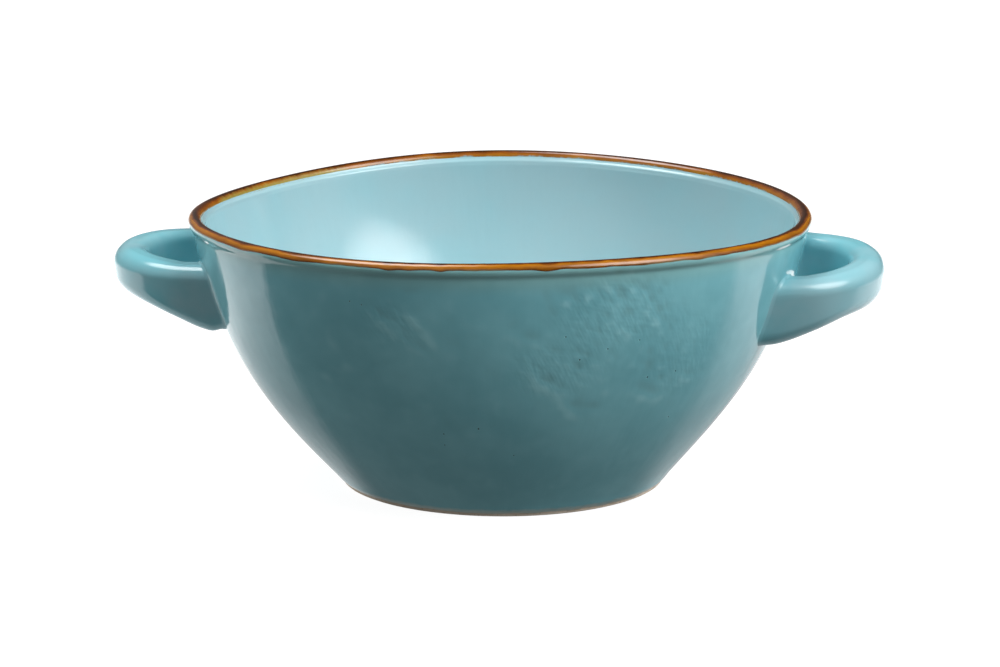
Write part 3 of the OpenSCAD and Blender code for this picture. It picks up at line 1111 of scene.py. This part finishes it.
class Graph:
    """A material's or world's nodes, made and joined by short calls."""

    def __init__(self, owner: bpy.types.Material | bpy.types.World) -> None:
        """Empties the owner's tree and keeps it.

        Args:
            owner: the material or world.
        """
        owner.use_nodes = True
        self.tree = owner.node_tree
        self.tree.nodes.clear()

    def node(self, kind: str, **settings: object) -> bpy.types.Node:
        """Adds a node of a kind with its settings.

        Args:
            kind: the node's type.
            settings: what is set on it, by name.

        Returns:
            The node.
        """
        made = self.tree.nodes.new(kind)
        for key, value in settings.items():
            setattr(made, key, value)
        return made

    def feed(self, socket: bpy.types.NodeSocket, value: Input) -> None:
        """Links a socket to another, or sets its own value.

        Args:
            socket: the input.
            value: the socket that feeds it, or its value.
        """
        if isinstance(value, bpy.types.NodeSocket):
            self.tree.links.new(value, socket)
        else:
            socket.default_value = value

    def math(self, operation: str, a: Input, b: Input = 0.0, c: Input = 0.0) -> Socket:
        """Adds a Math node.

        Args:
            operation: its operation.
            a: the first value.
            b: the second value.
            c: the third value.

        Returns:
            Its result.
        """
        made = self.node("ShaderNodeMath", operation=operation)
        for socket, value in zip(made.inputs, (a, b, c)):
            self.feed(socket, value)
        return made.outputs[0]

    def vector(self, operation: str, a: Input, b: Input = (0, 0, 0), scale: Input = 1.0) -> Socket:
        """Adds a Vector Math node.

        Args:
            operation: its operation.
            a: the first vector.
            b: the second vector.
            scale: the scale, where the operation has one.

        Returns:
            Its result, a number for a dot product, a length or a distance.
        """
        made = self.node("ShaderNodeVectorMath", operation=operation)
        self.feed(made.inputs[0], a)
        self.feed(made.inputs[1], b)
        if operation == "SCALE":
            self.feed(made.inputs[3], scale)
        return made.outputs[1 if operation in ("DOT_PRODUCT", "LENGTH", "DISTANCE") else 0]

    def ease(
        self, value: Input, low: Input, high: Input, at_low: Input = 0.0, at_high: Input = 1.0
    ) -> Socket:
        """Adds a Map Range node with soft ends.

        Args:
            value: what is mapped.
            low: where the range begins.
            high: where the range ends.
            at_low: the result at its beginning.
            at_high: the result at its end.

        Returns:
            Its result.
        """
        made = self.node("ShaderNodeMapRange", interpolation_type="SMOOTHSTEP")
        for socket, given in zip(made.inputs, (value, low, high, at_low, at_high)):
            self.feed(socket, given)
        return made.outputs[0]

    def mix(self, share: Input, a: Input, b: Input) -> Socket:
        """Adds a Mix node for colours.

        Args:
            share: the share of the second colour.
            a: the first colour.
            b: the second colour.

        Returns:
            The mixed colour.
        """
        made = self.node("ShaderNodeMix", data_type="RGBA")
        for place, value in ((0, share), (6, a), (7, b)):
            self.feed(made.inputs[place], value)
        return made.outputs[2]

    def cloud(self, where: Input, scale: float, detail: float = 2.0, rough: float = 0.5) -> Socket:
        """Adds a Noise texture.

        Args:
            where: the coordinates that it reads.
            scale: its scale.
            detail: its levels of detail.
            rough: how strong the finer levels are.

        Returns:
            Its value, from 0 to 1.
        """
        made = self.node("ShaderNodeTexNoise")
        self.feed(made.inputs["Vector"], where)
        for name, value in (("Scale", scale), ("Detail", detail), ("Roughness", rough)):
            made.inputs[name].default_value = value
        return made.outputs["Fac"]

    def either(self, share: Input, a: bpy.types.Node, b: bpy.types.Node) -> bpy.types.Node:
        """Adds a Mix Shader node.

        Args:
            share: the share of the second shader.
            a: the first shader.
            b: the second shader.

        Returns:
            The node.
        """
        made = self.node("ShaderNodeMixShader")
        for socket, value in zip(made.inputs, (share, a.outputs[0], b.outputs[0])):
            self.feed(socket, value)
        return made

    def close(self, kind: str, last: bpy.types.Node) -> None:
        """Adds the output node of a kind and joins the last shader to it."""
        self.feed(self.node(kind).inputs["Surface"], last.outputs[0])


class Coat(Graph):
    """A fired finish in the making: its one shader, and what its pattern is read from."""

    def __init__(self, name: str, ior: float) -> None:
        """Starts the material with its shader.

        Args:
            name: the material's name.
            ior: how strongly it bends light.
        """
        self.made = bpy.data.materials.new(name)
        super().__init__(self.made)
        self.shader = self.node("ShaderNodeBsdfPrincipled")
        self.shader.inputs["IOR"].default_value = ior
        self.place = self.node("ShaderNodeTexCoord").outputs["Object"]

    def noted(self, name: str) -> Socket:
        """A number that the piece notes at each of its points."""
        return self.node("ShaderNodeAttribute", attribute_name=name).outputs["Fac"]

    def chart(self) -> Socket:
        """Where the surface is on a turned piece's map, in millimetres."""
        return self.vector("SCALE", self.node("ShaderNodeUVMap", uv_map="girth").outputs[0], scale=100.0)

    def fire(self, colour: Socket, roughness: Socket, height: Socket) -> bpy.types.Material:
        """Joins the pattern to the shader.

        Args:
            colour: the colour.
            roughness: the roughness.
            height: the height of the fine relief, in millimetres.

        Returns:
            The finished material.
        """
        bump = self.node("ShaderNodeBump")
        bump.inputs["Distance"].default_value = MM
        self.feed(bump.inputs["Height"], height)
        for name, value in (("Base Color", colour), ("Roughness", roughness), ("Normal", bump.outputs[0])):
            self.feed(self.shader.inputs[name], value)
        self.close("ShaderNodeOutputMaterial", self.shader)
        return self.made


def rgb(r: int, g: int, b: int) -> Colour:
    """A screen colour, 0 to 255, as the linear colour that a shader takes."""
    shares = (r / 255, g / 255, b / 255)
    return (*(c / 12.92 if c <= 0.04045 else ((c + 0.055) / 1.055) ** 2.4 for c in shares), 1.0)


@dataclass(frozen=True)
class Imprint:
    """A patch where cloth left its weave in the glaze."""

    centre: tuple[float, float]
    reach: tuple[float, float]
    depth: float


PINHOLES = (
    (269.6, 26.9, 0.30), (261.7, 25.1, 0.22), (261.4, 21.9, 0.20), (248.9, 57.6, 0.20),
    (289.4, 44.9, 0.26), (304.7, 38.6, 0.28), (311.4, 39.1, 0.22), (315.1, 26.1, 0.24),
    (286.3, 50.9, 0.24), (294.7, 47.2, 0.22), (246.6, 58.2, 0.20), (277.6, 19.2, 0.20),
    (301.0, 48.7, 0.20), (95.0, 40.0, 0.25), (33.0, 30.0, 0.24), (141.0, 48.0, 0.22),
    (205.0, 33.0, 0.24), (118.0, 21.0, 0.22), (60.0, 52.0, 0.22),
)

IMPRINTS = (
    Imprint((296, 56), (16, 12), 0.11), Imprint((312, 44), (11, 16), 0.08),
    Imprint((286, 42), (13, 10), 0.09), Imprint((254, 53), (9, 9), 0.08),
    Imprint((70, 48), (16, 12), 0.09), Imprint((112, 40), (12, 12), 0.08),
)


@dataclass(frozen=True)
class BlueGlaze:
    """A glassy pale teal glaze, with the clay's marks and a few pinholes showing. Painted shade
    darkens the marks' grooves and the pinholes, painted highlight lightens the marks' ridges,
    and the handles' paler colour holds a painted sheen.

    Depths and thread sizes are in millimetres, and heights on the bowl in metres.
    """

    colour: Colour = rgb(135, 203, 213)
    deep: Colour = rgb(120, 189, 200)
    # the handles' glaze, paler and greyer than the wall's: a painted sheen of the bright surroundings
    lug: Colour = rgb(148, 194, 203)
    inner: Colour = rgb(163, 197, 204)
    # groove is painted shade in the marks' grooves and weave dents, ridge a painted highlight on their
    # ridges
    groove: Colour = rgb(112, 158, 164)
    ridge: Colour = rgb(170, 230, 236)
    # the pinholes' dark colour is painted shade inside the holes
    pit_shade: Colour = rgb(38, 52, 50)
    thin: Colour = rgb(206, 222, 214)
    veil: Colour = rgb(166, 180, 146)
    inner_share: float = 0.2
    groove_shade_share: float = 0.4
    ridge_highlight_share: float = 0.6
    thin_share: float = 0.9
    thin_h: tuple[float, float] = (0.0016, 0.0030)
    veil_share: float = 0.25
    veil_h: tuple[float, float] = (0.0605, 0.0662)
    swell_depth: float = 0.12
    grain_depth: float = 0.012
    streak_depth: float = 0.05
    pit_depth: float = 0.12
    threads: tuple[tuple[float, float, float, float], ...] = ((-30, 1.3, 4.5, 1.0), (-80, 1.5, 5.0, 0.8))
    ior: float = 1.5
    roughness: float = 0.06

    def weave(self, g: Graph, spot: Socket) -> Socket:
        """The height of the cloth's weave, in the patches where it shows.

        Args:
            g: the material's nodes.
            spot: where the surface is, in millimetres along the girth and up.

        Returns:
            The height in millimetres.
        """
        depth: Socket | None = None
        for patch in IMPRINTS:
            centre = (girth_at(patch.centre[0]), patch.centre[1], 0)
            reach = (1 / girth_at(patch.reach[0]), 1 / patch.reach[1], 0)
            off = g.vector("MULTIPLY", g.vector("SUBTRACT", spot, centre), reach)
            share = g.ease(g.vector("LENGTH", off), 0.35, 1.0, patch.depth, 0.0)
            depth = share if depth is None else g.math("ADD", depth, share)
        height: Input = -0.9
        for turn, across, along, share in self.threads:
            turned = g.node("ShaderNodeMapping")
            turned.inputs["Rotation"].default_value = (0, 0, radians(turn))
            g.feed(turned.inputs["Vector"], spot)
            stroke = g.cloud(g.vector("MULTIPLY", turned.outputs[0], (1 / across, 1 / along, 0.0)), 1.0, 1.0)
            height = g.math("MULTIPLY_ADD", stroke, share, height)
        return g.math("MULTIPLY", height, depth)

    def pits(self, g: Graph, spot: Socket) -> Socket:
        """How much of a pinhole the surface has at a place, from 0 to 1.

        Args:
            g: the material's nodes.
            spot: where the surface is, in millimetres along the girth and up.

        Returns:
            The share.
        """
        holes: Socket | None = None
        for turn, z, r in PINHOLES:
            away = g.vector("DISTANCE", spot, (girth_at(turn), z, 0))
            hole = g.ease(away, r * 0.35, r, 1.0, 0.0)
            holes = hole if holes is None else g.math("MAXIMUM", holes, hole)
        return holes

    def mark_wall(self, g: Coat, colour: Socket, cloudy: Socket, height: Socket) -> tuple[Socket, Socket]:
        """Adds what only the wall shows: its inside, its marks' painted shade and highlight, thin foot and
        veil under the band.

        Args:
            g: the material's nodes.
            colour: the plain glaze's colour.
            cloudy: the cloud that mottles it.
            height: the plain glaze's relief.

        Returns:
            The wall's colour and relief.
        """
        spot, relief, inner = g.chart(), g.noted("relief"), g.noted("inner")
        outside = g.math("SUBTRACT", 1.0, inner)
        pits = g.math("MULTIPLY", self.pits(g, spot), outside)
        weave = g.math("MULTIPLY", self.weave(g, spot), outside)
        within = g.mix(g.ease(cloudy, 0.3, 0.7, 0.0, self.inner_share), self.inner, self.colour)
        colour = g.mix(inner, colour, within)
        mark = g.math("ADD", relief, g.math("MULTIPLY", weave, 1.6))
        # painted shade darkens grooves and weave dents, painted highlight lightens ridges
        colour = g.mix(g.ease(mark, 0.01, -0.17, 0.0, self.groove_shade_share), colour, self.groove)
        colour = g.mix(g.ease(mark, 0.0, 0.15, 0.0, self.ridge_highlight_share), colour, self.ridge)
        # painted shade darkens the pinholes
        colour = g.mix(pits, colour, self.pit_shade)
        split = g.node("ShaderNodeSeparateXYZ")
        g.feed(split.inputs[0], g.place)
        up = split.outputs[2]
        worn = g.math("ADD", up, g.math("MULTIPLY", g.cloud(g.place, 300, 3), 0.0012))
        colour = g.mix(g.ease(worn, *self.thin_h, self.thin_share, 0.0), colour, self.thin)
        veil = g.math("MULTIPLY", g.ease(up, *self.veil_h, 0.0, self.veil_share), outside)
        colour = g.mix(veil, colour, self.veil)
        streaks = g.cloud(g.vector("MULTIPLY", spot, (1.0, 0.16, 0.0)), 0.3, 2)
        height = g.math("ADD", height, g.math("MULTIPLY", streaks, self.streak_depth))
        sunk = g.math("MULTIPLY", pits, -self.pit_depth)
        return colour, g.math("ADD", g.math("ADD", height, weave), sunk)

    def material(self, name: str, wall: bool) -> bpy.types.Material:
        """The glaze as a material.

        Args:
            name: the material's name.
            wall: whether it is for the turned wall, whose map carries the marks.

        Returns:
            The material.
        """
        g = Coat(name, self.ior)
        cloudy = g.cloud(g.place, 55, 3)
        # handles take the lug colour, whose paleness is a painted sheen
        colour = g.mix(g.ease(cloudy, 0.3, 0.7), self.colour if wall else self.lug, self.deep)
        swells = g.math("MULTIPLY", g.cloud(g.place, 70, 2), self.swell_depth)
        height = g.math("ADD", swells, g.math("MULTIPLY", g.cloud(g.place, 420, 2), self.grain_depth))
        dull = g.ease(g.cloud(g.place, 160, 2), 0.3, 0.8, self.roughness, self.roughness + 0.05)
        if wall:
            colour, height = self.mark_wall(g, colour, cloudy, height)
        return g.fire(colour, dull, height)


@dataclass(frozen=True)
class BrownGlaze:
    """A glossy brown glaze: amber where it is thin, dark where it pools or folds over.

    Each stop is a distance in millimetres from the band's lower outer edge, up to the
    span, and the colour there.
    """

    stops: tuple[tuple[float, Colour], ...] = (
        (0.0, rgb(78, 46, 14)), (0.35, rgb(112, 64, 14)), (0.8, rgb(162, 96, 8)), (1.5, rgb(180, 114, 10)),
        (1.9, rgb(130, 66, 10)), (2.3, rgb(52, 24, 6)), (3.1, rgb(66, 32, 6)), (3.7, rgb(128, 66, 10)),
        (4.3, rgb(166, 98, 14)), (5.2, rgb(168, 122, 40)),
    )
    dark: Colour = rgb(104, 54, 10)
    olive: Colour = rgb(158, 150, 74)
    pale: Colour = rgb(158, 150, 112)
    blue: Colour = rgb(150, 198, 207)
    span: float = 5.5
    dark_share: float = 0.45
    olive_share: float = 0.9
    pale_share: float = 0.75
    wave_depth: float = 0.10
    grain_depth: float = 0.012
    ior: float = 1.52
    roughness: float = 0.08

    def ramp(self, g: Graph, length: Socket) -> Socket:
        """The colour by the distance from the band's lower outer edge.

        Args:
            g: the material's nodes.
            length: the distance from the band's lower outer edge, in millimetres.

        Returns:
            The colour there.
        """
        made = g.node("ShaderNodeValToRGB")
        steps = made.color_ramp.elements
        while len(steps) < len(self.stops):
            steps.new(0.5)
        for step, (stop, tint) in zip(steps, self.stops):
            step.position, step.color = stop / self.span, tint
        g.feed(made.inputs[0], g.math("DIVIDE", length, self.span))
        return made.outputs[0]

    def material(self, name: str) -> bpy.types.Material:
        """The glaze as a material that reads how far each point is from the band's edges.

        Args:
            name: the material's name.

        Returns:
            The material.
        """
        g = Coat(name, self.ior)
        place, spot = g.place, g.chart()
        outer, inner, drip = g.noted("pool"), g.noted("across"), g.noted("drip")
        patchy = g.math("SUBTRACT", g.cloud(place, 260, 3), 0.5)
        streak = g.math("SUBTRACT", g.cloud(g.vector("MULTIPLY", spot, (1.0, 0.25, 0.0)), 0.8, 4, 0.6), 0.5)
        blotch = g.ease(g.cloud(place, 95, 2), 0.45, 0.75, 0.0, self.dark_share)
        colour = self.ramp(g, g.math("ADD", outer, g.math("MULTIPLY", patchy, 0.9)))
        colour = g.mix(blotch, colour, self.dark)
        run = g.math("ADD", drip, g.math("MULTIPLY", streak, 2.4))
        colour = g.mix(g.ease(run, -2.0, 0.2, 0.0, self.olive_share), colour, self.olive)
        near = g.ease(outer, 0.1, 0.7, self.pale_share, 0.0)
        weak = g.math("MULTIPLY", near, g.ease(g.cloud(place, 70, 2), 0.42, 0.6))
        colour = g.mix(weak, colour, self.pale)
        edge = g.math("ADD", inner, g.math("MULTIPLY", streak, 1.3))
        colour = g.mix(g.ease(edge, -0.05, 0.7, 1.0, 0.0), colour, self.blue)
        dull = g.ease(g.cloud(place, 300, 2), 0.3, 0.8, self.roughness, self.roughness + 0.08)
        waves = g.math("MULTIPLY", g.cloud(place, 110, 2), self.wave_depth)
        grain = g.math("MULTIPLY", g.cloud(place, 700, 2), self.grain_depth)
        return g.fire(colour, dull, g.math("ADD", waves, grain))


@dataclass(frozen=True)
class BareClay:
    """Unglazed stoneware, matt, faintly speckled, and turned on a wheel."""

    colour: Colour = rgb(226, 212, 194)
    dark: Colour = rgb(178, 158, 134)
    blush_share: float = 0.5
    speck_share: float = 0.6
    grain_depth: float = 0.08
    ring_depth: float = 0.008
    ring_pitch: float = 0.0008
    ior: float = 1.5
    roughness: float = 0.8

    def material(self, name: str) -> bpy.types.Material:
        """The clay as a material.

        Args:
            name: the material's name.

        Returns:
            The material.
        """
        g = Coat(name, self.ior)
        specks = g.math("MULTIPLY", g.ease(g.cloud(g.place, 1400, 2), 0.6, 0.7), self.speck_share)
        blush = g.cloud(g.place, 120, 3)
        colour = g.mix(g.ease(blush, 0.35, 0.7, 0.0, self.blush_share), self.colour, self.dark)
        dull = g.ease(blush, 0.3, 0.7, self.roughness, self.roughness + 0.12)
        away = g.vector("LENGTH", g.vector("MULTIPLY", g.place, (1, 1, 0)))
        rings = g.math("SINE", g.math("MULTIPLY", away, 2 * pi / self.ring_pitch))
        grain = g.math("MULTIPLY", g.cloud(g.place, 1800, 3), self.grain_depth)
        height = g.math("ADD", grain, g.math("MULTIPLY", rings, self.ring_depth))
        return g.fire(g.mix(specks, colour, self.dark), dull, height)


def toward(turn: float, rise: float) -> Vector:
    """The way to a light, from its turn round the bowl and its rise in degrees, 0 at the camera."""
    a, e = radians(turn), radians(rise)
    return Matrix.Rotation(VIEW_TURN, 3, "Z") @ Vector((sin(a) * cos(e), -cos(a) * cos(e), sin(e)))


@dataclass(frozen=True)
class SoftBox:
    """A soft lamp, by the direction it shines from as seen with the camera in front.

    Angles are in degrees: the turn is 0 at the camera and grows to the right. The level
    is its brightness, and the power at level 1 is given for a square metre of it.
    """

    name: str
    turn: float
    rise: float
    width: float
    height: float
    level: float
    distance: float = 0.9
    aim_h: float = 0.04
    power: float = 4.0

    def build(self) -> None:
        """Adds the lamp, facing the bowl."""
        way = toward(self.turn, self.rise)
        w, h = (2 * self.distance * tan(radians(x / 2)) for x in (self.width, self.height))
        lamp = bpy.data.lights.new(self.name, "AREA")
        lamp.shape = "RECTANGLE"
        lamp.size, lamp.size_y = w, h
        lamp.energy = self.level * self.power * w * h
        made = add_object(self.name, lamp)
        made.location = Vector((0, 0, self.aim_h)) + way * self.distance
        made.rotation_euler = way.to_track_quat("Z", "Y").to_euler()


@dataclass(frozen=True)
class Glow:
    """A soft bright patch of the surroundings, by the same angles as a soft box.

    It fades over its spread in degrees, and its core is the share that is fully bright.
    """

    turn: float
    rise: float
    spread: float
    level: float
    core: float = 0.2


@dataclass
class Studio:
    """The white table, the light and the camera.

    Lengths are in metres and angles in degrees. The camera sees the table white. To the bowl
    the table glows as painted light from the depth lit_from backwards, with a painted shadow
    in front of that, painted shade near the foot, and a little less glow to the right.
    """

    floor_reach: float = 6.0
    floor_white: float = 0.95
    floor_matt: Colour = (0.16, 0.16, 0.16, 1)
    lit_from: float = -0.022
    near_lit: float = 0.45
    far_lit: float = 1.7
    right_share: float = 0.85
    far_share: float = 0.25
    floor_dim: float = 0.16
    edge_soft: float = 0.007
    side_soft: float = 0.06
    low_level: float = 0.06
    lens: float = 131.87
    camera_rise: float = 10.68
    camera_pitch: float = 12.70
    camera_away: float = 0.9
    camera_base: float = 0.0684
    boxes: tuple[SoftBox, ...] = (SoftBox("key", 57, 44, 18, 18, 0.8),)
    glows: tuple[Glow, ...] = (
        Glow(57, 42, 25, 7.4, 0.45), Glow(60, 50, 40, 0.7), Glow(80, 35, 36, 1.0), Glow(325, 35, 36, 0.6),
        Glow(250, 66, 23, 11.5, 0.3), Glow(240, 15, 70, 0.25),
    )

    def floor_painted_glow(self, g: Graph) -> Socket:
        """How bright the table glows to the bowl at each place, as painted light and painted shadow.

        Args:
            g: the floor's nodes.

        Returns:
            The brightness.
        """
        place = g.node("ShaderNodeTexCoord").outputs["Object"]
        depth = g.vector("DOT_PRODUCT", place, (-sin(VIEW_TURN), cos(VIEW_TURN), 0))
        side = g.vector("DOT_PRODUCT", place, (cos(VIEW_TURN), sin(VIEW_TURN), 0))
        away = g.vector("LENGTH", place)
        # painted shade near the foot, and the glow fades far away
        lit = g.ease(away, 0.07, 0.17, self.near_lit, self.far_lit)
        lit = g.math("MULTIPLY", lit, g.ease(away, 0.35, 0.9, 1.0, self.far_share))
        lit = g.math("MULTIPLY", lit, g.ease(side, -0.04, 0.06, 1.0, self.right_share))
        soft = g.math("MULTIPLY_ADD", g.math("MAXIMUM", side, 0.0), self.side_soft, self.edge_soft)
        # painted shadow in front of the depth lit_from
        past = g.math("SUBTRACT", depth, self.lit_from)
        share = g.ease(past, g.math("MULTIPLY", soft, -1.0), soft)
        return g.math("ADD", g.math("MULTIPLY", lit, share), self.floor_dim)

    def build_floor(self) -> None:
        """A pale table that stays white to the camera and keeps the bowl's shadow."""
        bm = bmesh.new()
        bmesh.ops.create_grid(bm, x_segments=1, y_segments=1, size=self.floor_reach / 2)
        mesh = bpy.data.meshes.new("floor")
        bm.to_mesh(mesh)
        bm.free()
        floor = add_object("floor", mesh)
        made = bpy.data.materials.new("floor_white")
        g = Graph(made)
        seen = g.node("ShaderNodeEmission")
        seen.inputs["Strength"].default_value = self.floor_white
        matt = g.node("ShaderNodeBsdfDiffuse")
        matt.inputs["Color"].default_value = self.floor_matt
        white = g.node("ShaderNodeAddShader")
        g.feed(white.inputs[0], seen.outputs[0])
        g.feed(white.inputs[1], matt.outputs[0])
        # the table's glow to the bowl: painted light and painted shadow
        glow = g.node("ShaderNodeEmission")
        g.feed(glow.inputs["Strength"], self.floor_painted_glow(g))
        above = g.either(g.node("ShaderNodeLightPath").outputs["Is Camera Ray"], glow, white)
        under = g.node("ShaderNodeNewGeometry").outputs["Backfacing"]
        both = g.either(under, above, g.node("ShaderNodeBsdfTransparent"))
        g.close("ShaderNodeOutputMaterial", both)
        mesh.materials.append(made)

    def build_world(self) -> None:
        """White to the camera, and to everything else dim low down with soft bright patches."""
        world = bpy.data.worlds.new("studio")
        bpy.context.scene.world = world
        g = Graph(world)
        way = g.node("ShaderNodeTexCoord").outputs["Generated"]
        level: Input = self.low_level
        for glow in self.glows:
            near = g.vector("DOT_PRODUCT", way, tuple(toward(glow.turn, glow.rise)))
            rim, core = cos(radians(glow.spread)), cos(radians(glow.spread * glow.core))
            level = g.math("ADD", level, g.ease(near, rim, core, 0.0, glow.level))
        around, white = g.node("ShaderNodeBackground"), g.node("ShaderNodeBackground")
        g.feed(around.inputs["Strength"], level)
        both = g.either(g.node("ShaderNodeLightPath").outputs["Is Camera Ray"], around, white)
        g.close("ShaderNodeOutputWorld", both)

    def build_camera(self) -> None:
        """Sets the camera at the photograph's angle."""
        data = bpy.data.cameras.new("camera")
        data.sensor_width = 36
        data.lens = self.lens
        camera = add_object("camera", data)
        rise, pitch, away = radians(self.camera_rise), radians(self.camera_pitch), self.camera_away
        turned = Matrix.Rotation(VIEW_TURN, 3, "Z")
        camera.location = turned @ Vector((0, -cos(rise) * away, self.camera_base + sin(rise) * away))
        aim = turned @ Vector((0, cos(pitch), -sin(pitch)))
        camera.rotation_euler = aim.to_track_quat("-Z", "Y").to_euler()
        bpy.context.scene.camera = camera

    def build(self) -> None:
        """Adds the table, the surroundings, the lamps and the camera."""
        self.build_floor()
        self.build_world()
        for box in self.boxes:
            box.build()
        self.build_camera()
        bpy.context.scene.view_settings.view_transform = "Standard"


def report(piece: bpy.types.Object) -> None:
    """Logs what a piece holds."""
    log.info("%s: %d vertices, %d faces", piece.name, len(piece.data.vertices), len(piece.data.polygons))


def main() -> None:
    """Builds the bowl piece by piece, then the studio."""
    logging.basicConfig(level=logging.INFO, format="%(message)s")
    form = BowlForm()
    section = Section(form)
    blue, brown, clay = BlueGlaze(), BrownGlaze(), BareClay()
    report(Wall(form, section).build(blue))
    report(LipBand(form, section).build(brown))
    report(Foot(form).build(clay))
    left = Handle(form, Side.LEFT, 15.2, -0.1, belly=0.45, heel_lift=1.4, tip_lift=0.95)
    right = Handle(form, Side.RIGHT, 14.0, 3.1, belly=0.3, heel_lift=0.5, tip_belly=0.35, tip_lift=0.8)
    for handle in (left, right):
        report(handle.build_strap(blue))
        report(handle.build_slip(blue))
    Studio().build()


if __name__ == "__main__":
    main()
